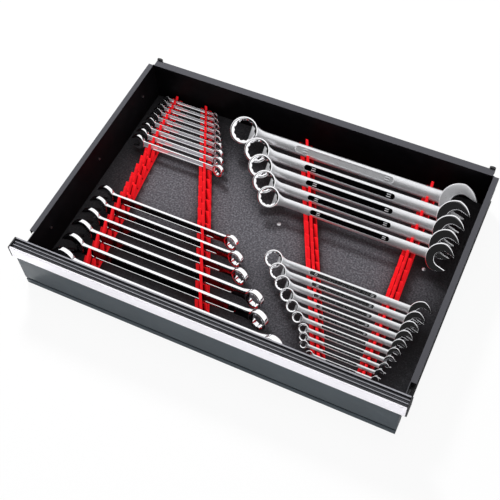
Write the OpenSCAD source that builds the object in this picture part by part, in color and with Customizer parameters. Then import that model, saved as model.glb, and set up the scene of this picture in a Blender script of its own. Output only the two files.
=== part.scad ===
// Wrench rack in a shallow steel drawer: four graduated tooth rails hold thirty combination wrenches.
// Millimetres, +X to the right along the front, +Y to the back, +Z up.
// The origin is on the surface the drawer stands on, under the middle of the whole part.

/* [Drawer tray] */
// Inside width of the tray
inner_w = 626; // [560:1:700]
// Inside depth of the tray, front wall to back wall
inner_d = 416; // [410:1:440]
// Inside height of the side walls
wall_h = 80; // [70:1:92]
// Thickness of the folded steel sheet
sheet = 1.2; // [0.8:0.1:2]
// Width of the outward side flanges
side_flange_w = 8; // [6:0.5:12]
// Width of the outward back flange
back_flange_w = 12; // [8:0.5:18]
// Depth of the turned-down edge of the flanges
flange_lip = 9; // [5:0.5:14]
// Gap between the side flanges and the front wall
flange_setback = 22; // [10:1:40]
// Thickness of the mat on the floor
liner_t = 2; // [1:0.25:4]
// Gap between the mat and the walls
liner_gap = 0.5; // [0.3:0.1:2]

/* [Front] */
// How far the front stands past the side flanges
front_over = 3.8; // [2.5:0.1:60]
// Height of the front above the tray floor
front_h = 98; // [94:1:110]
// How far the front stands out from the tray wall
front_out = 27.5; // [22:0.5:36]
// How far the lower skirt sits behind the face
skirt_setback = 6.5; // [3:0.5:10]
// Height of the skirt below the face
skirt_h = 34; // [20:1:44]
// Height of the bright strip along the top of the face
strip_h = 25; // [15:0.5:32]
// Thickness of the bright strip
strip_t = 1.2; // [0.8:0.1:3]
// Wall of the handle extrusion
handle_wall = 2.4; // [1.6:0.1:4]
// Number of grip ribs along the handle
grip_ribs = 6; // [3:1:7]
// Thickness of the end caps
cap_t = 2.5; // [1.5:0.1:4]

/* [Slides and bumpers] */
// Height of the slide members on the tray sides
slide_h = 36; // [24:1:44]
// Thickness of the slide metal
slide_t = 1.5; // [1:0.1:2.5]
// Depth of the slide channel
slide_d = 8; // [6:0.5:11]
// Head diameter of the slide screws
screw_head_d = 8; // [6:0.5:12]
// Size of the rubber bumpers behind the back wall
bumper_w = 10; // [6:0.5:16]

/* [Rack rails] */
// Height of the smallest tooth
small_tooth_h = 18; // [14:0.5:22]
// Rise of the tooth line for each millimetre of rail
tooth_rise = 0.075; // [0.04:0.005:0.09]
// Pitch of the smallest two teeth
first_pitch = 10.95; // [10.8:0.05:11]
// Ratio of each pitch to the one before
pitch_ratio = 1.059; // [1.055:0.001:1.06]
// Width of the rail base
rail_w = 22; // [16:0.5:28]
// Thickness of the rail base
rail_base_t = 2.5; // [1.5:0.25:4]
// Thickness of the middle fin
fin_t = 4.4; // [3:0.1:6]
// Width of the groove on each side of the fin
fin_groove = 1.6; // [1:0.1:3]
// Height of the shoulder teeth as a share of the fin's teeth
shoulder_share = 0.6; // [0.55:0.05:0.75]
// Depth of the grooves beside the fin as a share of the fin's teeth
groove_share = 0.08; // [0.04:0.01:0.1]
// Slope of the tooth ramps
ramp_angle = 36; // [30:1:40]
// Lean of the slots
slot_angle = 74; // [70:1:76]
// Width of a slot where the pitch is nothing
slot_min = 1.6; // [1.6:0.1:2]
// Growth of the slot width with the pitch
slot_growth = 0.24; // [0.23:0.01:0.28]
// Depth of the slot below the foot of the ramp
slot_depth = 2.5; // [1:0.25:4]
// Flat on the top of each tooth
tooth_flat = 1.6; // [1:0.1:2.5]

/* [Rail places] */
// Place of the smallest tooth of the left rails, in front of the back wall
left_first_tooth = 3; // [2.5:0.5:4]
// Place of the smallest tooth of the right rails, from the front wall
right_first_tooth = 27; // [24:0.5:30]
// Middle of the outer left rail, from the left wall
rail_1_x = 64; // [55:1:75]
// Middle of the inner left rail, from the left wall
rail_2_x = 201; // [190:1:210]
// Middle of the inner right rail, from the left wall
rail_3_x = 399; // [390:1:410]
// Middle of the outer right rail, from the right wall
rail_4_in = 80; // [71:1:91]
// Turn of the outer left rail
rail_1_turn = 5.7; // [0:0.1:8]
// Turn of both inner rails
inner_turn = 25.8; // [18:0.1:28]
// Turn of the outer right rail
rail_4_turn = 3; // [0:0.1:6]

/* [Wrenches] */
// Jaw size of the smallest short wrench
short_first_af = 6; // [5.5:0.1:6.5]
// Jaw step between short wrenches
short_step = 1; // [0.8:0.05:1]
// Overall scale of the shank widths
shank_share = 0.62; // [0.5:0.01:0.7]
// Width of the long polished shanks as a share of the jaw
long_shank_share = 0.8; // [0.6:0.01:0.85]
// Thickness of a shank for each millimetre of jaw
shank_t_share = 0.22; // [0.15:0.01:0.24]
// Added thickness of every shank
shank_t_add = 1.6; // [1:0.1:1.8]
// Depth of the panels in the shank faces
panel_depth = 0.6; // [0.3:0.1:0.9]
// Tilt of the ring ends
ring_tilt = 15; // [8:1:16]
// Turn of the open jaws
jaw_turn = 15; // [0:1:20]
// Clearance between a wrench and its tooth
seat_gap = 0.3; // [0.2:0.05:0.4]

/* [Hidden] */
$fn = 48;
eps = 0.01;

// Steepness of the ramps and of the slots
ramp_rise = tan(ramp_angle);
slot_run = 1 / tan(slot_angle);

// Ends of the part along the depth, from the inside of the front wall
bumper_out = 4;
bumper_over = 3;
front_y = -front_out;
back_wall_y = inner_d + sheet;
back_y = back_wall_y + back_flange_w;
mid_y = (front_y + back_y + bumper_out) / 2;

// Middle and ends of the front
mid_x = inner_w / 2;
front_w = inner_w + 2 * (sheet + side_flange_w + front_over);
front_x0 = mid_x - front_w / 2 + cap_t;
front_len = front_w - 2 * cap_t;
strip_z = front_h - strip_h;
skirt_y = front_y + skirt_setback;
grip_depth = 6;
grip_floor_z = front_h - grip_depth;
grip_rib = 1;
handle_back_y = -6;

// Slides
slide_z = 28;
slide_y0 = 18;
slide_back_gap = 10;
slide_len = inner_d - slide_y0 - slide_back_gap;
screw_places = [0.1, 0.5, 0.9];
screw_d = 4;
screw_head_h = 2.2;
screw_end = 1.5;
screw_hole = screw_d + 0.2;
slide_black = [0.1, 0.1, 0.11];

// Floor studs
stud_places = [[mid_x + 12, 0.577 * inner_d], [inner_w - 51, 0.61 * inner_d]];
stud_d = 7;
stud_h = 1.4;
stud_hole = 4;
stud_play = 0.2;

// Inside of the tray that the rails and wrenches are given for, and how they stretch in another tray
rack_w = 626;
rack_d = 416;
wide = inner_w / rack_w;
deep = inner_d / rack_d;

// Rails
rail_4_x = inner_w - rail_4_in;
inner_lean = atan(tan(inner_turn) * wide / deep);
web_share = shoulder_share - groove_share;
rail_end_gap = 1;
rail_front_y = rail_end_gap;
rail_back_y = inner_d - rail_end_gap;
rail_mid_y = inner_d / 2;
end_wall = 2;
base_edge = 1;
last_left = 20;
last_right = 19;
rail_lift = liner_t;

// Jaw sizes of the long, satin and large wrenches
long_af = [17, 18, 19, 21, 22, 24];
satin_af = [19.1, 17.5, 15.9, 14.3, 12.7, 11.1, 9.5, 8.7, 7.9, 6.4];
large_af = [31.8, 28.6, 27, 25.4, 23.8];
// Front tooth of the first wrench of each set
short_tooth = 1;
long_tooth = 15;
satin_tooth = 9;
large_tooth = 18;
// Where the open jaws of the right sets end, from the left wall, and the step from wrench to wrench
right_tip_gap = 9;
right_tip_x = inner_w - right_tip_gap;
satin_tip_step = -4 * wide;
// Clearance between the heads of the left sets and their rail
head_gap = 1;
// Panel widths as shares of the shanks
panel_w = 0.5;
long_panel_w = 0.6;
// Steel finishes
chrome = [0.78, 0.79, 0.8];
satin = [0.7, 0.7, 0.71];

// Distance from the smallest tooth to tooth n, and the height of tooth n above the mat
function reach(n) = deep * first_pitch * (pow(pitch_ratio, n) - 1) / (pitch_ratio - 1);
function tooth_z(n) = small_tooth_h + tooth_rise * reach(n);
function left_tooth(n) = [inner_d - left_first_tooth - reach(n), tooth_z(n)];
function right_tooth(n) = [right_first_tooth + reach(n), tooth_z(n)];

// The teeth of each kind of rail, front to back
left_teeth = [for (n = [last_left:-1:0]) left_tooth(n)];
right_teeth = [for (n = [0:last_right]) right_tooth(n)];

// Slot width between front tooth f and rear tooth b, and the foot of the ramp behind it
function slot_w(f, b) = slot_min + slot_growth * (b.x - f.x);
function foot_y(f, b) = (slot_w(f, b) + f.x - slot_run * (f.y - b.y + (b.x - tooth_flat) * ramp_rise))
  / (1 - ramp_rise * slot_run);
function foot(f, b) = [foot_y(f, b), b.y - (b.x - tooth_flat - foot_y(f, b)) * ramp_rise];

// How far a shoulder tooth sits down the slot line from the fin tooth at height z
function shoulder_drop(z, share) = (1 - share) * z;
function down_slot(p, d) = [p.x - d * slot_run, p.y - d];

// Outline of a rail seen from the side, with its teeth at a share of their full height
function tooth_points(t, share) = let (top = down_slot(t, shoulder_drop(t.y, share)))
  [[top.x - tooth_flat, top.y], top];
function gap_points(f, b, share) = let (
  p = down_slot(foot(f, b), shoulder_drop(b.y, share)),
  z = max(p.y - slot_depth, rail_base_t)
) [
  [max(f.x - (f.y - z) * slot_run, rail_front_y + end_wall), z],
  [p.x - (p.y - z) * slot_run, z],
  p
];
function first_points(p) = let (y0 = p.x - (p.y - rail_base_t) / ramp_rise)
  y0 > rail_front_y ? [[rail_front_y, rail_base_t], [y0, rail_base_t]]
  : [[rail_front_y, p.y - (p.x - rail_front_y) * ramp_rise]];
function last_points(p) = [
  [p.x - (p.y - rail_base_t) * slot_run, rail_base_t], [rail_back_y, rail_base_t], [rail_back_y, 0]
];
function rail_outline(teeth, share) = let (last = len(teeth) - 1) concat(
  [[rail_front_y, 0]],
  first_points(tooth_points(teeth[0], share)[0]),
  [for (i = [0:last]) each concat(
    tooth_points(teeth[i], share),
    i < last ? gap_points(teeth[i], teeth[i + 1], share) : [])],
  last_points(tooth_points(teeth[last], share)[1])
);

// Sizes of a wrench by its jaw size
function ring_r(af) = 0.74 * af + 1;
function ring_h(af) = 0.42 * af + 1.4;
function head_r(af) = 1.03 * af;
function head_t(af) = 0.3 * af + 1.8;
function shank_t(af) = shank_t_share * af + shank_t_add;
function shank_w(af) = shank_share * af + 0.6;
function short_shank_w(af) = shank_w(af) + 1;
function long_shank_w(af) = long_shank_share * af + 1;
function short_len(af) = wide * (8.5 * af + 54);
function long_len(af) = wide * (20 * af - 86);
function satin_len(af) = wide * (12 * af + 35);

// Widening of a shank from its ring end to its jaw end
ring_end_share = 0.94;
jaw_end_share = 1.06;
// Lengths over which a shank flares into the ring and into the head, as shares of their radii
ring_flare = 1;
head_flare = 0.5;
root_share = 0.8;
// How far the shank reaches into the ring and the head, how far the tilted ring is raised,
// and the jaw centre from the jaw end
ring_root = 0.5;
ring_lift = 0.7;
head_root = 0.55;
jaw_back = 0.9;
// Where a shank starts to thicken towards the ring and the head
ring_neck = 1.5;
head_neck = 1.2;
swell_end = 0.4;
rise_mid = 0.55;
// Thickness of a shank where it meets the ring, half way up to it and where it meets the head
ring_meet = 0.76;
rise_share = 1.24;
head_meet = 0.94;
// Room between the panels and the thicker ends of a shank
ring_panel_gap = 0.8;
head_panel_gap = 0.4;
// Open end as shares of the jaw size: arcs that taper the jaws, and the throat's centre
arc_r = 1.3;
arc_x = 0.25;
arc_y = 0.3;
throat_x = 0.1;
// Chamfers of the ring, the head and the ring's hole as shares of the jaw size
ring_soft = 0.08;
head_soft = 0.05;
hole_soft = 0.05;
hole_start = 0.54;
hole_mouth = 0.66;

// Puts a piece given from the inner front left floor corner into the part's frame
module seat() {
  translate([-mid_x, -mid_y, sheet]) children();
}

// Draws a side outline given as [y, z] along the width
module along_width(x0, length) {
  translate([x0, 0, 0]) rotate([90, 0, 90]) linear_extrude(height = length) children();
}

// Folded tray with outward flanges, mitred open at the back corners
module tray() {
  color([0.05, 0.05, 0.06]) seat() difference() {
    union() {
      difference() {
        translate([-sheet, -sheet, -sheet])
          cube([inner_w + 2 * sheet, inner_d + 2 * sheet, wall_h + sheet]);
        cube([inner_w, inner_d, wall_h + eps]);
      }
      side_flange();
      translate([2 * mid_x, 0, 0]) mirror([1, 0, 0]) side_flange();
      back_flange();
    }
    for (side = [0, 1], place = screw_places)
      translate([side * inner_w, slide_y0 + place * slide_len, slide_z + slide_h / 2])
        rotate([0, 90, 0]) cylinder(d = screw_hole, h = 4 * sheet, center = true);
    for (p = stud_places) translate([p.x, p.y, -2 * sheet]) cylinder(d = stud_hole, h = 4 * sheet);
  }
}

module side_flange() {
  flange_len = inner_d - flange_setback;
  translate([-sheet - side_flange_w, flange_setback, 0]) {
    translate([0, 0, wall_h - sheet]) cube([side_flange_w + eps, flange_len, sheet]);
    translate([0, 0, wall_h - flange_lip]) cube([sheet, flange_len, flange_lip]);
  }
}

module back_flange() {
  flange_len = inner_w - 2 * sheet;
  translate([sheet, back_wall_y - eps, wall_h - sheet]) cube([flange_len, back_flange_w + eps, sheet]);
  translate([sheet, back_y - sheet, wall_h - flange_lip]) cube([flange_len, sheet, flange_lip]);
}

// Mat on the tray floor
module liner() {
  color([0.34, 0.33, 0.36]) seat() difference() {
    translate([liner_gap, liner_gap, 0]) cube([inner_w - 2 * liner_gap, inner_d - 2 * liner_gap, liner_t]);
    for (p = stud_places) translate([p.x, p.y, -eps]) cylinder(d = stud_hole, h = liner_t + 2 * eps);
  }
}

// Studs that hold the mat to the floor
module floor_studs() {
  color([0.8, 0.8, 0.82]) seat() for (p = stud_places) translate([p.x, p.y, 0]) {
    translate([0, 0, -sheet]) cylinder(d = stud_hole - stud_play, h = sheet + liner_t + eps);
    translate([0, 0, liner_t]) intersection() {
      cylinder(d = stud_d, h = stud_h);
      translate([0, 0, stud_h - stud_d]) sphere(r = stud_d);
    }
  }
}

// Folded steel front with a set-back skirt
module front_panel() {
  in_y = front_y + sheet;
  in_skirt_y = skirt_y + sheet;
  face = [
    [front_y, skirt_h], [front_y, strip_z], [-sheet, strip_z], [-sheet, strip_z - sheet],
    [in_y, strip_z - sheet], [in_y, skirt_h + sheet], [in_skirt_y, skirt_h + sheet],
    [in_skirt_y, 0], [-sheet, 0], [-sheet, -sheet], [skirt_y, -sheet], [skirt_y, skirt_h]
  ];
  color([0.2, 0.23, 0.25]) seat() along_width(front_x0, front_len) polygon(face);
}

// Extruded handle with a ribbed grip channel along its top
module pull_handle() {
  y0 = front_y + strip_t;
  depth = handle_back_y - y0;
  rib_pitch = (depth - 2 * handle_wall) / (grip_ribs + 1);
  color([0.12, 0.12, 0.13]) seat() along_width(front_x0, front_len) {
    difference() {
      translate([y0, strip_z]) square([depth, strip_h]);
      translate([y0 + handle_wall, strip_z + handle_wall])
        square([depth - 2 * handle_wall, grip_floor_z - strip_z - 2 * handle_wall]);
      translate([y0 + handle_wall, grip_floor_z]) square([depth - 2 * handle_wall, strip_h]);
    }
    for (i = [1:grip_ribs]) translate([y0 + handle_wall + i * rib_pitch - grip_rib / 2, grip_floor_z - eps])
      square([grip_rib, 1.2 * grip_rib]);
  }
}

// Bright strip along the front of the handle
module trim_strip() {
  color([0.85, 0.84, 0.88]) seat() along_width(front_x0, front_len)
    polygon([[front_y, strip_z], [front_y, front_h - 1], [front_y + strip_t - 0.2, front_h],
      [front_y + strip_t, front_h], [front_y + strip_t, strip_z]]);
}

// Caps that close the ends of the front
module end_cap(x0) {
  side = [
    [front_y, skirt_h], [front_y, front_h - 1], [front_y + 1, front_h], [handle_back_y, front_h],
    [handle_back_y, strip_z], [-sheet, strip_z], [-sheet, -sheet], [skirt_y, -sheet], [skirt_y, skirt_h]
  ];
  color([0.06, 0.06, 0.07]) seat() along_width(x0, cap_t) polygon(side);
}
module end_cap_left() { end_cap(front_x0 - cap_t); }
module end_cap_right() { end_cap(front_x0 + front_len); }

// Channel shaped slide member on the left wall
module slide_channel() {
  translate([-sheet, slide_y0, slide_z]) difference() {
    translate([-slide_d, 0, 0]) cube([slide_d, slide_len, slide_h]);
    translate([-slide_d - eps, -eps, slide_t])
      cube([slide_d - slide_t + eps, slide_len + 2 * eps, slide_h - 2 * slide_t]);
    for (place = screw_places) translate([0, place * slide_len, slide_h / 2])
      rotate([0, 90, 0]) cylinder(d = screw_hole, h = 4 * slide_t, center = true);
  }
}
module slide_left() {
  color(slide_black) seat() slide_channel();
}
module slide_right() {
  color(slide_black) seat() translate([2 * mid_x, 0, 0]) mirror([1, 0, 0]) slide_channel();
}

// Pan head screw that holds a slide, head towards -X
module slide_screw() {
  half_h = screw_head_h / 2;
  shaft = slide_t + sheet + screw_end;
  rotate([0, -90, 0]) {
    cylinder(d = screw_head_d, h = half_h);
    translate([0, 0, half_h]) cylinder(d1 = screw_head_d, d2 = 0.6 * screw_head_d, h = half_h);
    translate([0, 0, -shaft]) cylinder(d = screw_d, h = shaft + eps);
  }
}
module slide_screws() {
  color([0.6, 0.6, 0.62]) seat() for (place = screw_places) {
    y = slide_y0 + place * slide_len;
    translate([-sheet - slide_t, y, slide_z + slide_h / 2]) slide_screw();
    translate([inner_w + sheet + slide_t, y, slide_z + slide_h / 2]) mirror([1, 0, 0]) slide_screw();
  }
}

// Moulded bumper on the lip of the back flange
module bumper(x0) {
  h = flange_lip + bumper_over;
  color([0.07, 0.07, 0.08]) seat() translate([x0, back_y, wall_h - flange_lip]) intersection() {
    cube([bumper_w, bumper_out, h]);
    translate([bumper_w / 2, bumper_out - bumper_w, 0]) cylinder(r = bumper_w, h = h);
  }
}
module bumper_left() { bumper(sheet); }
module bumper_right() { bumper(inner_w - sheet - bumper_w); }

// One rail: a base, a middle fin, two lower shoulders and a web that fills the grooves between them,
// all with the same teeth across the tray
module rail(teeth, x_mid, turn) {
  shoulder_w = rail_w / 2 - base_edge - fin_t / 2 - fin_groove;
  shoulder_x = fin_t / 2 + fin_groove + shoulder_w / 2;
  color([0.9, 0.1, 0.13]) seat() translate([0, 0, rail_lift]) {
    intersection() {
      linear_extrude(height = front_h) strip(x_mid, turn, 0, rail_w);
      translate([0, rail_front_y, 0]) cube([inner_w, rail_back_y - rail_front_y, rail_base_t]);
    }
    intersection() {
      linear_extrude(height = front_h) strip(x_mid, turn, 0, fin_t);
      along_width(0, inner_w) polygon(rail_outline(teeth, 1));
    }
    intersection() {
      linear_extrude(height = front_h) strip(x_mid, turn, 0, 2 * shoulder_x);
      along_width(0, inner_w) polygon(rail_outline(teeth, web_share));
    }
    for (side = [-1, 1]) intersection() {
      linear_extrude(height = front_h) strip(x_mid, turn, side * shoulder_x, shoulder_w);
      along_width(0, inner_w) polygon(rail_outline(teeth, shoulder_share));
    }
  }
}

// Plan of a straight stretch of a rail, off to one side of its middle line and longer than the tray
module strip(x_mid, turn, off, w) {
  length = inner_d / cos(turn) + 2 * rail_w;
  translate([x_mid, rail_mid_y]) rotate(turn) translate([off, 0]) square([w, length], center = true);
}
module rail_outer_left() { rail(left_teeth, rail_1_x, rail_1_turn); }
module rail_inner_left() { rail(left_teeth, wide * rail_2_x, inner_lean); }
module rail_inner_right() { rail(right_teeth, wide * rail_3_x, inner_lean); }
module rail_outer_right() { rail(right_teeth, rail_4_x, rail_4_turn); }

// Plan of an open end with tapered jaws, its centre at the origin and its mouth towards +X
module head_plan(af) {
  rotate(-jaw_turn) difference() {
    intersection() {
      circle(r = head_r(af));
      translate([-arc_x * af, -arc_y * af]) circle(r = arc_r * af);
      translate([-arc_x * af, arc_y * af]) circle(r = arc_r * af);
    }
    translate([throat_x * af, 0]) circle(d = af);
    translate([throat_x * af, -af / 2]) square([2 * af, af]);
  }
}

// Rounded disc that trims the edges of a ring or a head
module soft_disc(r, h, c) {
  rotate_extrude()
    polygon([[0, -h / 2], [r - c, -h / 2], [r, c - h / 2], [r, h / 2 - c], [r - c, h / 2], [0, h / 2]]);
}

// Half width of a shank w wide at x, between a ring of radius a at x0 and a head of radius b at x1
function flare(d, r) = pow(max(0, 1 - d / r), 2);
function shank_half(x, x0, x1, w, a, b) = let (
  s = (x - x0) / (x1 - x0),
  plain = w / 2 * (ring_end_share + (jaw_end_share - ring_end_share) * s)
) plain + (root_share * a - plain) * flare(x - x0, ring_flare * a)
  + (root_share * b - plain) * flare(x1 - x, head_flare * b);
module shank_plan(x0, x1, w, a, b) {
  steps = 40;
  xs = [for (i = [0:steps]) x0 + (x1 - x0) * (1 - cos(180 * i / steps)) / 2];
  polygon(concat(
    [for (x = xs) [x, shank_half(x, x0, x1, w, a, b)]],
    [for (i = [steps:-1:0]) [xs[i], -shank_half(xs[i], x0, x1, w, a, b)]]
  ));
}

// Long rounded panel sunk in a shank face
module panel(x0, x1, w) {
  for (x = [x0 + w / 2, x1 - w / 2]) translate([x, 0]) circle(d = w);
  translate([x0 + w / 2, -w / 2]) square([x1 - x0 - w, w]);
}

// Side outline of a shank: level, thicker at the head and rising into the tilted ring
function shank_side(x0, x1, lift, r, hr, h, ht, t) = let (
  ring_x = ring_neck * r,
  rise = lift - x0 * tan(ring_tilt),
  rise_x = rise_mid * ring_x,
  head_x = x1 - (head_neck - head_root) * hr,
  swell_x = x1 - swell_end * hr,
  a = ring_meet * h / 2,
  b = rise_share * t / 2,
  c = head_meet * ht / 2
) [
  [x0, rise + a], [rise_x, b], [ring_x, t / 2], [head_x, t / 2], [swell_x, c], [x1, c],
  [x1, -c], [swell_x, -c], [head_x, -t / 2], [ring_x, -t / 2], [rise_x, -b], [x0, rise - a]
];

// Twelve-point hole through a ring, chamfered at both faces
module ring_hole(af, h) {
  for (a = [0, 30]) rotate(a) cylinder(d = af / cos(30), h = 2 * h, center = true, $fn = 6);
  for (s = [0, 1]) mirror([0, 0, s]) translate([0, 0, h / 2 - hole_soft * af])
    cylinder(r1 = hole_start * af, r2 = hole_mouth * af, h = 2 * hole_soft * af);
}

// Combination wrench, ring centre at the origin, jaws towards +X, front face up
module wrench(af, length, w, panel_share) {
  r = ring_r(af);
  h = ring_h(af);
  lift = ring_lift * r * sin(ring_tilt);
  hr = head_r(af);
  ht = head_t(af);
  t = shank_t(af);
  head_x = length - jaw_back * af;
  x0 = ring_root * r;
  x1 = head_x - head_root * hr;
  difference() {
    union() {
      intersection() {
        translate([0, 0, -2 * h]) linear_extrude(height = 4 * h) shank_plan(x0, x1, w, r, hr);
        translate([0, 2 * hr, 0]) rotate([90, 0, 0]) linear_extrude(height = 4 * hr)
          polygon(shank_side(x0, x1, lift, r, hr, h, ht, t));
      }
      translate([0, 0, lift]) rotate([0, ring_tilt, 0]) soft_disc(r, h, ring_soft * af);
      translate([head_x, 0, 0]) intersection() {
        translate([0, 0, -ht]) linear_extrude(height = 2 * ht) head_plan(af);
        soft_disc(hr, ht, head_soft * af);
      }
    }
    translate([0, 0, lift]) rotate([0, ring_tilt, 0]) ring_hole(af, h);
    for (s = [0, 1]) mirror([0, 0, s]) translate([0, 0, t / 2 - panel_depth]) linear_extrude(height = t)
      panel((ring_neck + ring_panel_gap) * r, head_x - (head_neck + head_panel_gap) * hr, w * panel_share);
  }
}

// Centre of a wrench section on the ramp between front tooth f and rear tooth b
function ramp_slide(f, b, t) = max(seat_gap,
  ((t + seat_gap) * (sin(ramp_angle) + slot_run * cos(ramp_angle)) - slot_w(f, b) + seat_gap)
  / (cos(ramp_angle) - slot_run * sin(ramp_angle)));
function ramp_seat(f, b, w, t) = let (up = ramp_slide(f, b, t) + w / 2, out = seat_gap + t / 2)
  foot(f, b) + [up * cos(ramp_angle) - out * sin(ramp_angle), up * sin(ramp_angle) + out * cos(ramp_angle)];

// Centre of a wrench section standing in the slot between front tooth f and rear tooth b
function slot_seat(f, b, w, t) = let (
  p = foot(f, b),
  down = slot_depth - seat_gap,
  run = cos(slot_angle),
  rise = sin(slot_angle)
) [p.x - down * slot_run - seat_gap / rise, p.y - down] + [w * run - t * rise, w * rise + t * run] / 2;

// Middle line of the outer left rail, and the jaw end of a wrench whose head just clears that rail
function rail_1_at(y) = rail_1_x - (y - rail_mid_y) * tan(rail_1_turn);
function left_tip(y, af) = rail_1_at(y) - (rail_w / 2 - base_edge) / cos(rail_1_turn) - head_gap
  - jaw_back * af - (head_root + head_flare) * head_r(af);

// Wrench standing in a slot of the left rails, jaws to the left
module standing_wrench(n, af, length, w, panel_share) {
  c = slot_seat(left_tooth(n), left_tooth(n - 1), w * jaw_end_share, shank_t(af));
  seat() translate([left_tip(c.x + w / 2, af) + length, c.x, c.y + rail_lift]) mirror([1, 0, 0])
    rotate([slot_angle, 0, 0]) wrench(af, length, w, panel_share);
}

// Wrench lying on a ramp of the right rails, jaws to the right
module lying_wrench(n, af, length, tip_x) {
  w = shank_w(af);
  c = ramp_seat(right_tooth(n), right_tooth(n + 1), w * jaw_end_share, shank_t(af));
  seat() translate([tip_x - length, c.x, c.y + rail_lift]) rotate([ramp_angle, 0, 0])
    wrench(af, length, w, panel_w);
}

// The four sets, each numbered from the back
module wrench_short(k) {
  size = short_first_af + (k - 1) * short_step;
  af = deep * size;
  color(chrome) standing_wrench(short_tooth + k - 1, af, short_len(size), short_shank_w(af), panel_w);
}
module wrench_long(k) {
  size = long_af[k - 1];
  af = deep * size;
  color(chrome) standing_wrench(long_tooth + k - 1, af, long_len(size), long_shank_w(af), long_panel_w);
}
module wrench_satin(k) {
  size = satin_af[k - 1];
  tip_x = right_tip_x + (k - 1) * satin_tip_step;
  color(satin) lying_wrench(satin_tooth - k + 1, deep * size, satin_len(size), tip_x);
}
module wrench_large(k) {
  size = large_af[k - 1];
  color(satin) lying_wrench(large_tooth - k + 1, deep * size, satin_len(size), right_tip_x);
}

tray();
liner();
floor_studs();
front_panel();
pull_handle();
trim_strip();
end_cap_left();
end_cap_right();
slide_left();
slide_right();
slide_screws();
bumper_left();
bumper_right();
rail_outer_left();
rail_inner_left();
rail_inner_right();
rail_outer_right();
wrench_short(1);  // wrench_short_1
wrench_short(2);  // wrench_short_2
wrench_short(3);  // wrench_short_3
wrench_short(4);  // wrench_short_4
wrench_short(5);  // wrench_short_5
wrench_short(6);  // wrench_short_6
wrench_short(7);  // wrench_short_7
wrench_short(8);  // wrench_short_8
wrench_short(9);  // wrench_short_9
wrench_long(1);  // wrench_long_1
wrench_long(2);  // wrench_long_2
wrench_long(3);  // wrench_long_3
wrench_long(4);  // wrench_long_4
wrench_long(5);  // wrench_long_5
wrench_long(6);  // wrench_long_6
wrench_satin(1);  // wrench_satin_1
wrench_satin(2);  // wrench_satin_2
wrench_satin(3);  // wrench_satin_3
wrench_satin(4);  // wrench_satin_4
wrench_satin(5);  // wrench_satin_5
wrench_satin(6);  // wrench_satin_6
wrench_satin(7);  // wrench_satin_7
wrench_satin(8);  // wrench_satin_8
wrench_satin(9);  // wrench_satin_9
wrench_satin(10);  // wrench_satin_10
wrench_large(1);  // wrench_large_1
wrench_large(2);  // wrench_large_2
wrench_large(3);  // wrench_large_3
wrench_large(4);  // wrench_large_4
wrench_large(5);  // wrench_large_5
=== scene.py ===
import math

import bpy
from mathutils import Matrix, Vector


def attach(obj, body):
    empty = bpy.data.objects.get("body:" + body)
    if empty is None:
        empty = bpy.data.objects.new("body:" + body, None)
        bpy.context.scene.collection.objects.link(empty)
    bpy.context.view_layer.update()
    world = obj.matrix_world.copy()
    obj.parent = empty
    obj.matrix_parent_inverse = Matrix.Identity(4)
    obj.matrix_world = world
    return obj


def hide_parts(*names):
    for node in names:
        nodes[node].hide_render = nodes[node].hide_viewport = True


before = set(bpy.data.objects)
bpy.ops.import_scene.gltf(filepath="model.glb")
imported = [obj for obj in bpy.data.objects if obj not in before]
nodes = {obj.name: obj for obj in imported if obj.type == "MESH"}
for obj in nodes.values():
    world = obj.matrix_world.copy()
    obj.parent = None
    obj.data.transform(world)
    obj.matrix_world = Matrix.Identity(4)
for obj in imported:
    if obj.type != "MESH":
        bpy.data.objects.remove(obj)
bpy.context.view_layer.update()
MM = 0.001

# Sizes of the part, in millimetres
INNER_W, INNER_D, WALL_H, SHEET = 626.0, 416.0, 80.0, 1.2
FRONT_OUT, BACK_FLANGE_W, BUMPER_OUT = 27.5, 12.0, 4.0
LINER_T = 2.0
MID_X = INNER_W / 2
MID_Y = (-FRONT_OUT + INNER_D + SHEET + BACK_FLANGE_W + BUMPER_OUT) / 2
RAMP, SLOT = math.radians(36), math.radians(74)
SLOT_RUN, RAMP_RISE = 1 / math.tan(SLOT), math.tan(RAMP)
SLOT_MIN, SLOT_GROWTH, SLOT_DEPTH, TOOTH_FLAT = 1.6, 0.24, 2.5, 1.6
FIRST_PITCH, PITCH_RATIO = 10.95, 1.059
FIRST_TOOTH_Z, TOOTH_CLIMB = 18.0, 0.075
LEFT_FIRST, RIGHT_FIRST = 413.0, 27.0
LEFT_TEETH, RIGHT_TEETH = 21, 20
RAIL_W, RAIL_BASE, FIN_T, GROOVE, EDGE, SHOULDER, WEB = 22.0, 2.5, 4.4, 1.6, 1.0, 0.6, 0.52
RAIL_Y0, RAIL_Y1, END_WALL = 1.0, INNER_D - 1.0, 2.0
SEAT_GAP = 0.3
RING_TILT, JAW_TURN = math.radians(15), math.radians(15)

# Where each rail crosses the middle of the tray, and its turn in degrees
OUTER_LEFT = (64.0, 5.7)
INNER_LEFT = (201.0, 25.8)
INNER_RIGHT = (399.0, 25.8)
OUTER_RIGHT = (546.0, 3.0)


def part(x, y, z):
    """A point given from the tray's inner front left floor corner, in the part's frame in metres."""
    return Vector(((x - MID_X) * MM, (y - MID_Y) * MM, (z + SHEET) * MM))


# Rail teeth, as in the solids
def reach(n):
    """How far tooth n is from the first one, at a pitch that grows by a fixed ratio."""
    return FIRST_PITCH * (PITCH_RATIO ** n - 1) / (PITCH_RATIO - 1)


def tooth_z(n):
    return FIRST_TOOTH_Z + TOOTH_CLIMB * reach(n)


def left_tooth(n):
    return (LEFT_FIRST - reach(n), tooth_z(n))


def right_tooth(n):
    return (RIGHT_FIRST + reach(n), tooth_z(n))


def slot_w(f, b):
    """The width of the slot between the front tooth f and the back tooth b."""
    return SLOT_MIN + SLOT_GROWTH * (b[0] - f[0])


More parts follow.
